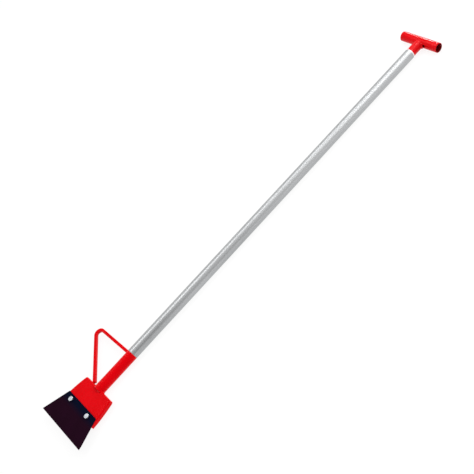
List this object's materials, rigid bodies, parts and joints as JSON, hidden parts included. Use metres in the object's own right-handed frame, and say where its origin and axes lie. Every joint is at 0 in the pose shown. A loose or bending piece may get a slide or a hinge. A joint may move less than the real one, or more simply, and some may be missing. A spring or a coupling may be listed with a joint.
{
  "type": "long-handled scraper",
  "caption": "Long-handled scraper: a bolted steel blade in a red pressed carrier with a foot-step rod, an aluminium pole and a red T-handle.",
  "frame": {"origin": "centre of the bounding box's base, on the plane that the tool lies on when it rests on its back", "axes": "+X along the pole from the blade to the T-handle, +Y to the side with the foot-step rod, +Z out of the blade's front face"},
  "size_m": [1.52, 0.2494, 0.0318],
  "materials": {
    "red_paint": "gloss red powder coat",
    "pole_aluminium": "mill-drawn aluminium tube, satin, faint lengthwise lines",
    "blade_steel": "dark blued spring steel, smooth, ground back bevel",
    "zinc_hardware": "bright zinc plate",
    "inner_steel": "bare drawn steel tube, lightly oiled",
    "rivet_aluminium": "plain aluminium"
  },
  "bodies": {
    "root": {"blade": "blade_steel", "blade_carrier": "red_paint", "socket_tube": "red_paint", "socket_weld": "red_paint", "spigot_tube": "inner_steel", "foot_step_rod": "red_paint", "rod_socket_weld": "red_paint", "rod_head_weld": "red_paint", "pole": "pole_aluminium", "handle_stem": "red_paint", "handle_cross_tube": "red_paint", "handle_weld": "red_paint", "blade_bolt_left": "zinc_hardware", "flat_washer_left": "zinc_hardware", "lock_washer_left": "zinc_hardware", "blade_nut_left": "zinc_hardware", "blade_bolt_right": "zinc_hardware", "flat_washer_right": "zinc_hardware", "lock_washer_right": "zinc_hardware", "blade_nut_right": "zinc_hardware", "socket_rivet_1": "rivet_aluminium", "socket_rivet_2": "rivet_aluminium", "handle_rivet_1": "rivet_aluminium", "handle_rivet_2": "rivet_aluminium"}
  },
  "joints": []
}
